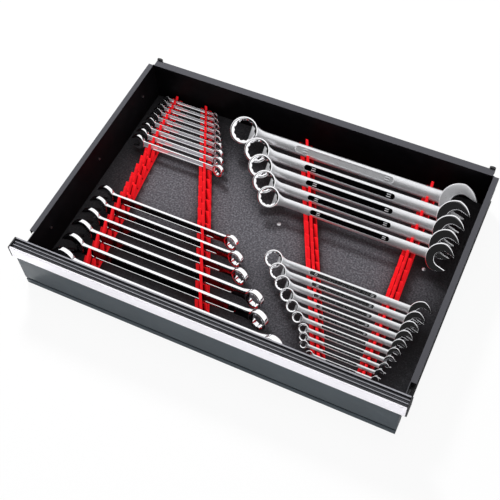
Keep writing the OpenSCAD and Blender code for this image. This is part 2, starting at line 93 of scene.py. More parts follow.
def foot(f, b):
    """Where the slot behind tooth f ends and the ramp up to tooth b begins."""
    drop = f[1] - b[1] + (b[0] - TOOTH_FLAT) * RAMP_RISE
    y = (slot_w(f, b) + f[0] - SLOT_RUN * drop) / (1 - RAMP_RISE * SLOT_RUN)
    return (y, b[1] - (b[0] - TOOTH_FLAT - y) * RAMP_RISE)


# Materials
EVEN, GRAINED, BRUSHED = (1, 1, 1), (0.25, 1, 1), (0.01, 1, 1)
NOISE_LOW, NOISE_HIGH = 0.3, 0.7
AO_SAMPLES, BEVEL_SAMPLES = 8, 4


def new_material(name):
    m = bpy.data.materials.new(name)
    m.use_nodes = True
    nt = m.node_tree
    nt.nodes.clear()
    out = nt.nodes.new("ShaderNodeOutputMaterial")
    bsdf = nt.nodes.new("ShaderNodeBsdfPrincipled")
    nt.links.new(bsdf.outputs[0], out.inputs[0])
    return m, nt, bsdf


def add(nt, kind, **values):
    """A node with the given inputs and settings."""
    n = nt.nodes.new(kind)
    for k, v in values.items():
        if k in n.inputs:
            n.inputs[k].default_value = v
        else:
            setattr(n, k, v)
    return n


def noise(nt, scale, detail, stretch=EVEN):
    """A noise that sits on the object, scale in features per metre."""
    spot = add(nt, "ShaderNodeTexCoord")
    stretched = add(nt, "ShaderNodeMapping", Scale=stretch)
    n = add(nt, "ShaderNodeTexNoise", Scale=scale, Detail=detail)
    nt.links.new(spot.outputs["Object"], stretched.inputs["Vector"])
    nt.links.new(stretched.outputs[0], n.inputs["Vector"])
    return n.outputs[0]


def ramp(nt, source, stops):
    """Colours by a value, each stop a place and a colour."""
    r = nt.nodes.new("ShaderNodeValToRGB")
    elements = r.color_ramp.elements
    while len(elements) < len(stops):
        elements.new(0.5)
    for element, (place, colour) in zip(elements, stops):
        element.position = place
        element.color = (*colour, 1)
    nt.links.new(source, r.inputs[0])
    return r.outputs[0]


def shades(nt, source, dark, light):
    """A colour that wanders from dark to light with a noise."""
    return ramp(nt, source, [(NOISE_LOW, dark), (NOISE_HIGH, light)])


def map_range(nt, source, lo, hi, a=NOISE_LOW, b=NOISE_HIGH):
    """A value that goes from lo to hi while the source goes from a to b."""
    m = nt.nodes.new("ShaderNodeMapRange")
    m.inputs["From Min"].default_value = a
    m.inputs["From Max"].default_value = b
    m.inputs["To Min"].default_value = lo
    m.inputs["To Max"].default_value = hi
    nt.links.new(source, m.inputs["Value"])
    return m.outputs[0]


def mixed(nt, share, first, second):
    """Two colours mixed by a share, each of them three values or an output."""
    m = nt.nodes.new("ShaderNodeMixRGB")
    nt.links.new(share, m.inputs["Fac"])
    for key, colour in (("Color1", first), ("Color2", second)):
        if isinstance(colour, tuple):
            m.inputs[key].default_value = (*colour, 1)
        else:
            nt.links.new(colour, m.inputs[key])
    return m.outputs[0]


def openness(nt, distance):
    """1 where a point is open to the room, 0 where it is shut in."""
    return add(nt, "ShaderNodeAmbientOcclusion", samples=AO_SAMPLES, Distance=distance).outputs["AO"]


def bump(nt, bsdf, source, strength, distance, radius=0.0):
    """Fine relief, with the edges softened by a radius in metres."""
    b = add(nt, "ShaderNodeBump", Strength=strength, Distance=distance)
    nt.links.new(source, b.inputs["Height"])
    if radius:
        bevel = add(nt, "ShaderNodeBevel", samples=BEVEL_SAMPLES, Radius=radius)
        nt.links.new(bevel.outputs[0], b.inputs["Normal"])
    nt.links.new(b.outputs[0], bsdf.inputs["Normal"])


def paint(name, dark, light, rough, peel, radius):
    m, nt, bs = new_material(name)
    bs.inputs["Specular IOR Level"].default_value = 0.5
    n = noise(nt, 38, 4)
    nt.links.new(shades(nt, n, dark, light), bs.inputs["Base Color"])
    nt.links.new(map_range(nt, n, rough - 0.05, rough + 0.07), bs.inputs["Roughness"])
    bump(nt, bs, noise(nt, 900, 2), peel, 0.0004, radius)
    return m


def chrome(name, shade, rough, grain, stretch=EVEN, metallic=1.0, glow=0.0):
    m, nt, bs = new_material(name)
    bs.inputs["Metallic"].default_value = metallic
    # a glow above 0 is a painted glow: emission that makes the face look lit
    bs.inputs["Emission Color"].default_value = (0.9, 0.92, 1.0, 1)
    bs.inputs["Emission Strength"].default_value = glow
    dull = tuple(v * 0.93 for v in shade)
    nt.links.new(shades(nt, noise(nt, 60, 5), dull, shade), bs.inputs["Base Color"])
    g = noise(nt, 1400, 3, stretch)
    nt.links.new(map_range(nt, g, rough * 0.8, rough * 1.25), bs.inputs["Roughness"])
    bump(nt, bs, g, grain, 0.0002)
    return m


def brushed(name, metallic, scale, dark, light, rough, grain=0.0):
    """Metal brushed along the front, its roughness between two values."""
    m, nt, bs = new_material(name)
    bs.inputs["Metallic"].default_value = metallic
    g = noise(nt, scale, 4, BRUSHED)
    nt.links.new(shades(nt, g, dark, light), bs.inputs["Base Color"])
    nt.links.new(map_range(nt, g, *rough), bs.inputs["Roughness"])
    if grain:
        bump(nt, bs, g, grain, 0.0002, 0.0004)
    return m


def make_tray():
    """Black paint, with a painted highlight: the up-facing tops of the flanges are lighter."""
    m, nt, bs = new_material("black_paint")
    bs.inputs["Specular IOR Level"].default_value = 0.2
    bs.inputs["IOR"].default_value = 1.25
    bs.inputs["Roughness"].default_value = 0.45
    black = shades(nt, noise(nt, 38, 4), (0.004, 0.0036, 0.0048), (0.008, 0.0075, 0.009))
    spot = add(nt, "ShaderNodeTexCoord")
    place = add(nt, "ShaderNodeSeparateXYZ")
    facing = add(nt, "ShaderNodeSeparateXYZ")
    nt.links.new(spot.outputs["Object"], place.inputs[0])
    nt.links.new(spot.outputs["Normal"], facing.inputs[0])
    # painted highlight: lighter colour where a face near the top of the walls looks up
    high = map_range(nt, place.outputs["Z"], 0, 1, (WALL_H - 1.5) * MM, (WALL_H + 0.5) * MM)
    level = map_range(nt, facing.outputs["Z"], 0, 1, 0.6, 0.95)
    lit_tops = add(nt, "ShaderNodeMath", operation="MULTIPLY")
    nt.links.new(high, lit_tops.inputs[0])
    nt.links.new(level, lit_tops.inputs[1])
    nt.links.new(mixed(nt, lit_tops.outputs[0], black, (0.085, 0.085, 0.095)), bs.inputs["Base Color"])
    bump(nt, bs, noise(nt, 900, 2), 0.1, 0.0004, 0.0009)
    return m


def make_red():
    """Red plastic with a painted glow where it is open to the room, and painted shade, a near-black red,
    where it is shut in, so that the gaps between wrenches stay dark.
    """
    m, nt, bs = new_material("red_plastic")
    bs.inputs["Specular IOR Level"].default_value = 0.2
    n = noise(nt, 45, 3)
    nt.links.new(map_range(nt, n, 0.5, 0.62), bs.inputs["Roughness"])
    red = shades(nt, n, (0.78, 0.01, 0.016), (0.86, 0.014, 0.02))
    # painted shade: the base colour goes near-black red where the plastic is shut in
    light = openness(nt, 0.03)
    shut = map_range(nt, light, 0.03, 0.8, 0.16, 0.4)
    nt.links.new(mixed(nt, shut, (0.03, 0.0, 0.0), red), bs.inputs["Base Color"])
    # painted glow: emission where the plastic is open to the room
    bs.inputs["Emission Color"].default_value = (0.82, 0.012, 0.018, 1)
    nt.links.new(map_range(nt, light, 0.0, 0.5, 0.27, 0.5), bs.inputs["Emission Strength"])
    bump(nt, bs, noise(nt, 2200, 2), 0.12, 0.0002)
    return m


def make_mat():
    """A speckled mat, with painted shade between the wrenches and beside the walls."""
    m, nt, bs = new_material("speckled_mat")
    bs.inputs["Roughness"].default_value = 0.82
    speckle = ramp(nt, noise(nt, 330, 6), [
        (0.34, (0.05, 0.05, 0.058)), (0.5, (0.1, 0.098, 0.11)), (0.66, (0.185, 0.182, 0.2))])
    # painted shade: near-black where the mat is shut in by wrenches and walls
    shut = map_range(nt, openness(nt, 0.11), 0.05, 1.0, 0.46, 0.8)
    nt.links.new(mixed(nt, shut, (0.002, 0.002, 0.003), speckle), bs.inputs["Base Color"])
    bump(nt, bs, noise(nt, 900, 4), 0.5, 0.0006)
    return m


M_POLISHED = chrome("polished_chrome", (0.86, 0.86, 0.88), 0.07, 0.03)
# Painted dark reflection: the broad faces of the long wrenches
M_FACE_PAINTED_DARK = chrome("chrome_face_painted_dark", (0.08, 0.08, 0.086), 0.09, 0.03)
# Painted light: the short wrenches' faces glow and are a lighter, less metallic chrome
M_SHORT_FACE_PAINTED_GLOW = chrome("chrome_face_painted_glow", (0.9, 0.9, 0.92), 0.12, 0.03, metallic=0.8, glow=0.17)
M_SATIN = chrome("satin_chrome", (0.79, 0.795, 0.815), 0.34, 0.22, GRAINED, metallic=0.66)
M_PANEL = chrome("panel_chrome", (0.56, 0.56, 0.58), 0.24, 0.05, GRAINED)
# Painted dark reflection: the panels of the large wrenches 2 to 5
M_PANEL_PAINTED_DARK = chrome("panel_painted_dark", (0.035, 0.035, 0.04), 0.12, 0.05, GRAINED)
M_ZINC = chrome("zinc_plate", (0.6, 0.6, 0.62), 0.3, 0.1)
M_FRONT = paint("slate_paint", (0.030, 0.039, 0.046), (0.040, 0.051, 0.059), 0.34, 0.14, 0.0009)
M_CAP = paint("black_plastic", (0.009, 0.009, 0.01), (0.016, 0.016, 0.018), 0.42, 0.25, 0.0008)
M_SLIDE = paint("slide_paint", (0.008, 0.008, 0.009), (0.014, 0.014, 0.016), 0.38, 0.1, 0.0005)
M_TRIM = brushed("brushed_trim", 0.2, 1500, (0.82, 0.80, 0.84), (0.93, 0.91, 0.95), (0.3, 0.42), 0.12)
M_HANDLE = brushed("anodised_handle", 0.6, 1300, (0.042, 0.042, 0.048), (0.07, 0.07, 0.078), (0.26, 0.4), 0.1)
# Painted highlight: the lighter ridges of the handle
M_RIDGE_PAINTED_HIGHLIGHT = brushed("ridge_painted_highlight", 0.5, 1300, (0.24, 0.24, 0.27), (0.36, 0.36, 0.39), (0.3, 0.3))
M_RED = make_red()
NODE_MATERIALS = {
    "tray": make_tray(), "liner": make_mat(), "floor_studs": M_ZINC, "slide_screws": M_ZINC,
    "slide_left": M_SLIDE, "slide_right": M_SLIDE, "bumper_left": M_CAP, "bumper_right": M_CAP,
}
for name, material in NODE_MATERIALS.items():
    nodes[name].data.materials.clear()
    nodes[name].data.materials.append(material)


# Meshes
class Build:
    """Collects points and faces, each face with a material index."""

    def __init__(self):
        self.v, self.f, self.m = [], [], []

    def ring(self, points):
        start = len(self.v)
        self.v.extend(points)
        return list(range(start, len(self.v)))

    def skin(self, a, b, index=0):
        """Faces between two closed rings, with one material index or one for each face."""
        n = len(a)
        for i in range(n):
            j = (i + 1) % n
            self.f.append((a[i], a[j], b[j], b[i]))
            self.m.append(index[i] if isinstance(index, list) else index)

    def cap(self, ids, index=0):
        self.f.append(tuple(ids))
        self.m.append(index)

    def move(self, matrix):
        """Moves the points, and turns the faces over where the matrix mirrors them."""
        self.v = [matrix @ Vector(p) for p in self.v]
        if matrix.determinant() < 0:
            self.f = [face[::-1] for face in self.f]


def make_piece(name, b, materials, replaced):
    """The mesh of a build, which takes the place of a node of the solids."""
    me = bpy.data.meshes.new(name)
    me.from_pydata([tuple(v) for v in b.v], [], b.f)
    for m in materials:
        me.materials.append(m)
    me.polygons.foreach_set("material_index", b.m)
    me.polygons.foreach_set("use_smooth", [True] * len(me.polygons))
    me.update()
    me.set_sharp_from_angle(angle=math.radians(38))
    o = bpy.data.objects.new(name, me)
    bpy.context.scene.collection.objects.link(o)
    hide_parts(replaced)
    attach(o, "root")


def quarter_turn(steps):
    return [math.pi / 2 * k / steps for k in range(steps + 1)]


def round_corners(points, radius, steps=3):
    """A closed outline with its corners rounded, as far as its edges have room for it."""
    out = []
    n = len(points)
    for i, p in enumerate(points):
        p = Vector(p)
        a = Vector(points[i - 1]) - p
        b = Vector(points[(i + 1) % n]) - p
        la, lb = a.length, b.length
        r = radius[i] if isinstance(radius, list) else radius
        if la < 1e-6 or lb < 1e-6 or r <= 0:
            out.append(p)
            continue
        cosv = max(-1.0, min(1.0, a.dot(b) / (la * lb)))
        half = math.acos(cosv) / 2
        if half > math.radians(88):
            out.append(p)
            continue
        cut = min(r / math.tan(half), 0.45 * la, 0.45 * lb)
        p0, p1 = p + a.normalized() * cut, p + b.normalized() * cut
        for k in range(steps + 1):
            t = k / steps
            out.append((1 - t) ** 2 * p0 + 2 * t * (1 - t) * p + t * t * p1)
    return out


def inset(points, d):
    """The outline moved inwards by d; points run anticlockwise."""
    n = len(points)
    out = []
    for i in range(n):
        a = points[i] - points[i - 1]
        b = points[(i + 1) % n] - points[i]
        if a.length < 1e-9 or b.length < 1e-9:
            out.append(points[i])
            continue
        a.normalize()
        b.normalize()
        na, nb = Vector((-a.y, a.x)), Vector((-b.y, b.x))
        m = na + nb
        if m.length < 1e-6:
            out.append(points[i])
            continue
        m.normalize()
        out.append(points[i] + m * (d / max(0.35, m.dot(na))))
    return out


def prism(b, outline, start, end, soft, place, index=0):
    """A bar with the given outline, from start to end along its axis, with softened end edges."""
    area = sum(p[0] * q[1] - q[0] * p[1] for p, q in zip(outline, outline[1:] + outline[:1]))
    base = [Vector(p) for p in (outline if area > 0 else outline[::-1])]
    small = inset(base, soft)
    rows = []
    for off, line in ((start, small), (start + soft, base), (end - soft, base), (end, small)):
        rows.append(b.ring([place(off, p.x, p.y) for p in line]))
    for r0, r1 in zip(rows, rows[1:]):
        b.skin(r0, r1, index)
    b.cap(rows[0], index)
    b.cap(rows[-1][::-1], index)


# Rails
TIP_R, FLAT_R, FOOT_R, CORNER_R, BASE_R = 1.1, 1.4, 0.6, 0.4, 0.5
FIN_SOFT, WEB_SOFT, BASE_SOFT = 0.35, 0.2, 0.4


def lowered(p, d):
    """A point moved down by d along the lean of the slots."""
    return (p[0] - d * SLOT_RUN, p[1] - d)


def rail_outline(teeth, share):
    """The side of a rail whose teeth keep a share of their height, with the slots where they were."""
    tops = [lowered(t, (1 - share) * t[1]) for t in teeth]
    pts, rad = [(RAIL_Y0, 0)], [0]
    y, z = tops[0][0] - TOOTH_FLAT, tops[0][1]
    ramp_start = y - (z - RAIL_BASE) / RAMP_RISE
    if ramp_start > RAIL_Y0:
        pts += [(RAIL_Y0, RAIL_BASE), (ramp_start, RAIL_BASE)]
        rad += [CORNER_R, FOOT_R]
    else:
        pts.append((RAIL_Y0, z - (y - RAIL_Y0) * RAMP_RISE))
        rad.append(CORNER_R)
    for i, top in enumerate(tops):
        pts += [(top[0] - TOOTH_FLAT, top[1]), top]
        rad += [FLAT_R, TIP_R]
        if i < len(teeth) - 1:
            f, b = teeth[i], teeth[i + 1]
            q = lowered(foot(f, b), (1 - share) * b[1])
            low = max(q[1] - SLOT_DEPTH, RAIL_BASE)
            wall = max(f[0] - (f[1] - low) * SLOT_RUN, RAIL_Y0 + END_WALL)
            pts += [(wall, low), (q[0] - (q[1] - low) * SLOT_RUN, low), q]
            rad += [CORNER_R, CORNER_R, CORNER_R]
    last = tops[-1]
    pts += [(last[0] - (last[1] - RAIL_BASE) * SLOT_RUN, RAIL_BASE), (RAIL_Y1, RAIL_BASE), (RAIL_Y1, 0)]
    rad += [CORNER_R, CORNER_R, 0]
    return round_corners(pts, rad)


def rail(name, teeth, x_mid, turn):
    """A full-height fin between two lower shoulders, over a web and a base."""
    turn = math.radians(turn)
    b = Build()
    shoulder_w = RAIL_W / 2 - EDGE - FIN_T / 2 - GROOVE
    shoulder_x = FIN_T / 2 + GROOVE + shoulder_w / 2

    def at(off, y, z):
        x = x_mid - (y - INNER_D / 2) * math.tan(turn) + off / math.cos(turn)
        return part(x, y, max(z, 0) + LINER_T)

    shoulder = rail_outline(teeth, SHOULDER)
    base = [(RAIL_Y0, 0), (RAIL_Y0, RAIL_BASE), (RAIL_Y1, RAIL_BASE), (RAIL_Y1, 0)]
    for outline, middle, width, soft in (
            (rail_outline(teeth, 1), 0, FIN_T, FIN_SOFT),
            (shoulder, -shoulder_x, shoulder_w, FIN_SOFT),
            (shoulder, shoulder_x, shoulder_w, FIN_SOFT),
            (rail_outline(teeth, WEB), 0, 2 * shoulder_x, WEB_SOFT),
            (round_corners(base, [0, BASE_R, BASE_R, 0]), 0, RAIL_W, BASE_SOFT)):
        prism(b, outline, middle - width / 2, middle + width / 2, soft, at)
    make_piece(name + "_moulding", b, [M_RED], name)


LEFT = [left_tooth(n) for n in reversed(range(LEFT_TEETH))]
RIGHT = [right_tooth(n) for n in range(RIGHT_TEETH)]
rail("rail_outer_left", LEFT, *OUTER_LEFT)
rail("rail_inner_left", LEFT, *INNER_LEFT)
rail("rail_inner_right", RIGHT, *INNER_RIGHT)
rail("rail_outer_right", RIGHT, *OUTER_RIGHT)


# Front: a slate face over a groove and a lower flange, narrower than the handle above it
FRONT_W, CAP_T, STRIP_Z, FRONT_H = 652.0, 2.5, 73.0, 98.0
FRONT_Y, HANDLE_Y, GROOVE_Y = -FRONT_OUT, -6.0, 7.0 - FRONT_OUT
FACE_X0, FACE_X1, FACE_Z, FLANGE_Z = -3.5, 629.5, 15.0, 11.0
HANDLE_X0 = MID_X - FRONT_W / 2 + CAP_T
HANDLE_X1 = MID_X + FRONT_W / 2 - CAP_T
FRONT_SOFT = 0.3


def front_piece(name, bars, materials, replaced):
    """Bars across the tray, each given as an outline, corner radii, its two ends and a material index."""
    b = Build()
    for outline, radii, x0, x1, index in bars:
        prism(b, round_corners(outline, radii, 4), x0, x1, FRONT_SOFT, part, index)
    make_piece(name, b, materials, replaced)


front_piece("slate_front", [(
    [(-SHEET, STRIP_Z), (FRONT_Y, STRIP_Z), (FRONT_Y, FACE_Z), (GROOVE_Y, FACE_Z),
     (GROOVE_Y, FLANGE_Z), (FRONT_Y, FLANGE_Z), (FRONT_Y, -SHEET), (-SHEET, -SHEET)],
    [0, 0.3, 1.6, 0.8, 0.8, 1.4, 1.4, 0.5], FACE_X0, FACE_X1, 0)], [M_FRONT], "front_panel")

# The bright strip ends in a lip over the handle's front edge
STRIP_Y, LIP_Y, LIP_Z = 1.4 - FRONT_OUT, 3.0 - FRONT_OUT, 96.6
front_piece("bright_strip", [(
    [(FRONT_Y, STRIP_Z), (FRONT_Y, FRONT_H), (LIP_Y, FRONT_H), (LIP_Y, LIP_Z), (STRIP_Y, LIP_Z),
     (STRIP_Y, STRIP_Z)],
    [0.2, 1.3, 0.3, 0.2, 0.2, 0.2], HANDLE_X0, HANDLE_X1, 0)], [M_TRIM], "trim_strip")

# The handle is a channel with ridges: middle, top, half width and material index of each; index 1 is the
# ridge material with a painted highlight
CHANNEL_Z, BACK_LIP_Y, BACK_LIP_Z = 93.2, HANDLE_Y - 2.6, FRONT_H - 0.6
RIDGES = ((-7.3, FRONT_H, 1.2, 1), (-12.4, 95.6, 0.9, 1), (-18.0, 95.6, 0.9, 1),
          (-10.4, 94.4, 0.6, 0), (-15.2, 94.6, 0.7, 0), (-21.4, 94.6, 0.7, 0))
RIDGE_INSET, RIDGE_ROUND = 0.4, 0.7
handle = [(
    [(STRIP_Y, STRIP_Z), (STRIP_Y, LIP_Z), (LIP_Y, LIP_Z), (LIP_Y, CHANNEL_Z), (BACK_LIP_Y, CHANNEL_Z),
     (BACK_LIP_Y, BACK_LIP_Z), (HANDLE_Y, BACK_LIP_Z), (HANDLE_Y, STRIP_Z)],
    [0.2, 0, 0, 0.4, 0.4, 0.2, 0.2, 0.2], HANDLE_X0, HANDLE_X1, 0)]
for y, z, half, index in RIDGES:
    low = FRONT_H - 1 if z == FRONT_H else CHANNEL_Z - 0.2
    top_r = RIDGE_ROUND * half
    handle.append(([(y - half, low), (y - half, z), (y + half, z), (y + half, low)], [0, top_r, top_r, 0],
                   HANDLE_X0 + RIDGE_INSET, HANDLE_X1 - RIDGE_INSET, index))
front_piece("ribbed_handle", handle, [M_HANDLE, M_RIDGE_PAINTED_HIGHLIGHT], "pull_handle")

for side, x0 in (("left", HANDLE_X0 - CAP_T), ("right", HANDLE_X1)):
    front_piece("handle_cap_" + side, [(
        [(FRONT_Y, STRIP_Z), (FRONT_Y, FRONT_H), (HANDLE_Y, FRONT_H), (HANDLE_Y, STRIP_Z)],
        [0.8, 1.6, 1.2, 0.8], x0, x0 + CAP_T, 0)], [M_CAP], "end_cap_" + side)


# Wrenches: most sizes are a share of the size across flats (af) and a fixed part
RING_R, RING_H, RING_LIFT = (0.74, 1.0), (0.42, 1.4), 0.7
HEAD_R, HEAD_T, JAW_REACH = 1.03, (0.3, 1.8), 0.9
SHANK_T = (0.22, 1.6)
# Length, width of the shank, and the share of that width that the panel takes
SHORT = ((8.5, 54.0), (0.62, 1.6), 0.5)
LONG = ((20.0, -86.0), (0.8, 1.0), 0.6)
SATIN = ((12.0, 35.0), (0.62, 0.6), 0.5)
# The shank's width goes from RING_END to JAW_END, and swells over HEAD_SWELL up to HEAD_ROOT
RING_END, TAPER, JAW_END = 0.94, 0.12, 1.06
RISE, HEAD_ROOT, HEAD_SWELL = 1.5, 0.55, 0.5
PANEL_DEPTH, PANEL_LIP = 0.6, 0.4
HEAD_CLEAR = 1.0
BODY, PANEL, BRIGHT = 0, 1, 2
SHANK_STEPS, RING_STEPS, JAW_STEPS = 48, 96, 88
PANEL_ROWS = (0, 0.004, 0.008, 0.014, 0.02, 0.03, 0.97, 0.98, 0.986, 0.992, 0.996, 1)
CROWN_AT = (1, 0.985, 0.94, 0.86, 0.74)


def sized(rule, af):
    return rule[0] * af + rule[1]


class Wrench:
    """The measures of a combination wrench, with its ring at the origin and its length along x."""

    def __init__(self, af, kind):
        length, width, self.panel_share = kind
        self.af, self.polished = af, kind is not SATIN
        self.length, self.w, self.t = sized(length, af), sized(width, af), sized(SHANK_T, af)
        self.ring_r, self.ring_h = sized(RING_R, af), sized(RING_H, af)
        self.head_r, self.head_t = HEAD_R * af, sized(HEAD_T, af)
        self.head_x = self.length - JAW_REACH * af
        self.lift = RING_LIFT * self.ring_r * math.sin(RING_TILT)
        if self.polished:
            self.panel = (2.3 * self.ring_r, self.head_x - 1.6 * self.head_r)
        else:
            self.panel = (0.25 * self.head_x, 0.71 * self.head_x)


def smooth(t):
    t = max(0.0, min(1.0, t))
    return t * t * (3 - 2 * t)


def between(keys, x):
    """Half the thickness and the middle height at x, eased from key to key."""
    for (xa, ha, za), (xb, hb, zb) in zip(keys, keys[1:]):
        if x <= xb:
            k = smooth((x - xa) / (xb - xa))
            return ha + (hb - ha) * k, za + (zb - za) * k
    return keys[-1][1], 0


def panel_at(x, ends, half_w):
    """The depth and half width of a panel at x, sunk between its rounded ends."""
    edge = min(x - ends[0], ends[1] - x)
    if edge <= 0:
        return 0.0, half_w * 0.2
    bow = math.sqrt(max(0.04, 1 - (1 - min(1, edge / half_w)) ** 2))
    return PANEL_DEPTH * smooth(edge / 0.8), half_w * bow


def flat_quarter(hw, hh, panel_w, depth):
    """From the edge to the middle of a flat face with rounded edges and a panel."""
    rc = min(0.42 * hh, 0.3 * hw)
    edge = [(hw - rc + rc * math.cos(a), hh - rc + rc * math.sin(a)) for a in quarter_turn(3)]
    return [(hw, 0)] + edge + [(panel_w + PANEL_LIP, hh), (panel_w, hh - depth), (0, hh - depth)]


def crowned_quarter(hw, hh, panel_w, depth, flat):
    """The same on a convex face, which falls away towards the edges less as flat nears 1."""
    power = 2.3 + 4 * flat

    def crown(y):
        return hh * (1 - min(1.0, abs(y) / hw) ** power) ** (1 / power)

    level = crown(panel_w) - depth
    edge = [(y, crown(y)) for y in [k * hw for k in CROWN_AT] + [panel_w + PANEL_LIP]]
    return edge + [(panel_w, level), (0, level if depth else crown(0))]


def shank(b, s):
    """A forged shank with a sunk panel on both faces, rising into the ring and swelling into the head."""
    r, hr, t = s.ring_r, s.head_r, s.t
    x0, x1 = 0.5 * r, s.head_x - HEAD_ROOT * hr
    p0, p1 = s.panel
    xs = [x0 + (x1 - x0) * (1 - math.cos(math.pi * i / SHANK_STEPS)) / 2 for i in range(SHANK_STEPS + 1)]
    xs += [p0 + (p1 - p0) * k for k in PANEL_ROWS]
    # place, half thickness and rise, as in the solid's side outline
    keys = [(x0, 0.38 * s.ring_h, s.lift - x0 * math.tan(RING_TILT)), (0.55 * RISE * r, 0.62 * t, 0),
            (RISE * r, t / 2, 0), (x1 - 0.65 * hr, t / 2, 0), (x1 - 0.3 * hr, 0.485 * s.head_t, 0),
            (x1, 0.495 * s.head_t, 0)]
    rows = []
    for x in sorted(set(xs)):
        plain = s.w / 2 * (RING_END + TAPER * ((x - x0) / (x1 - x0)))
        near = max(0.0, 1 - (x - x0) / r) ** 2
        far = max(0.0, 1 - (x1 - x) / (HEAD_SWELL * hr)) ** 2
        hw = plain + (0.8 * r - plain) * near + (0.8 * hr - plain) * far
        hh, middle = between(keys, x)
        depth, panel_w = panel_at(x, s.panel, plain * s.panel_share)
        if s.polished:
            half = flat_quarter(hw, hh, panel_w, depth)
        else:
            half = crowned_quarter(hw, hh, panel_w, depth, max(far, near) ** 0.5)
        top = half + [(-y, z) for y, z in half[-2::-1]]
        loop = top + [(y, -z) for y, z in top[-2:0:-1]]
        rows.append(b.ring([(x, y, z + middle) for y, z in loop]))
    # the panel has a material of its own, and on a polished wrench it covers the whole face
    panel_edge = s.w / 2 * JAW_END * s.panel_share + 0.01
    around = [b.v[i] for i in rows[len(rows) // 2]]
    inside = []
    for a, c in zip(around, around[1:] + around[:1]):
        in_panel = max(abs(a[1]), abs(c[1])) <= panel_edge
        on_face = s.polished and abs(a[2] - c[2]) < 1e-6
        inside.append(PANEL if in_panel or on_face else BODY)
    for r0, r1 in zip(rows, rows[1:]):
        x = (b.v[r0[0]][0] + b.v[r1[0]][0]) / 2
        b.skin(r0, r1, inside if s.polished or p0 < x < p1 else BODY)
    b.cap(rows[0][::-1])
    b.cap(rows[-1])
    if not s.polished and s.af > 12:
        raised_bars(b, s)


def raised_bars(b, s):
    """Two pairs of short raised bars in the panel of the front face."""
    half_w = s.w / 2 * s.panel_share * 0.92
    length, u = 1.7 * half_w, 0.2 * half_w
    z0 = s.t / 2 - PANEL_DEPTH - 0.35
    for x in (s.panel[0] + 3.2 * half_w, s.panel[1] - 3.4 * half_w):
        for y in (-0.42 * half_w, 0.42 * half_w):
            corners = [(x, y - u), (x + length, y - u), (x + length, y + u), (x, y + u)]
            outline = round_corners(corners, 0.7 * u, 2)
            low = b.ring([(p.x, p.y, z0) for p in outline])
            mid = b.ring([(p.x, p.y, z0 + 0.6) for p in outline])
            top = b.ring([(p.x, p.y, z0 + 0.8) for p in inset(outline, 0.3 * u)])
            b.skin(low, mid)
            b.skin(mid, top)
            b.cap(top)


def ring_end(b, s):
    """A tilted ring with a twelve-point hole and rounded rims."""
    af, r, h = s.af, s.ring_r, s.ring_h
    rc, cham, mouth_r = 0.16 * h, 0.05 * af, 0.66 * af + 0.25
    ct, st = math.cos(RING_TILT), math.sin(RING_TILT)

    def tilt(x, y, z):
        return (x * ct + z * st, y, -x * st + z * ct + s.lift)

    def star(a):
        """How far the hole reaches at an angle: the larger of two hexagons."""
        sides = [(a + turn) % (math.pi / 3) - math.pi / 6 for turn in (0, math.pi / 6)]
        return max(af / 2 / math.cos(k) for k in sides)

    profile = [(r - rc + rc * math.sin(a), -h / 2 + rc - rc * math.cos(a)) for a in quarter_turn(3)]
    profile += [(r, -h / 2 + 2 * rc), (r, h / 2 - 2 * rc)]
    profile += [(r - rc + rc * math.cos(a), h / 2 - rc + rc * math.sin(a)) for a in quarter_turn(3)]
    rows = []
    for i in range(RING_STEPS):
        a = 2 * math.pi * i / RING_STEPS
        inner = star(a)
        rim = [(mouth_r, h / 2), (max(0.62 * af, inner), h / 2 - cham * 0.5), (inner, h / 2 - cham * 1.4)]
        line = profile + rim + [(inner, 0)] + [(p, -z) for p, z in reversed(rim)]
        rows.append(b.ring([tilt(p * math.cos(a), p * math.sin(a), z) for p, z in line]))
    for i in range(RING_STEPS):
        b.skin(rows[i], rows[(i + 1) % RING_STEPS], BRIGHT)


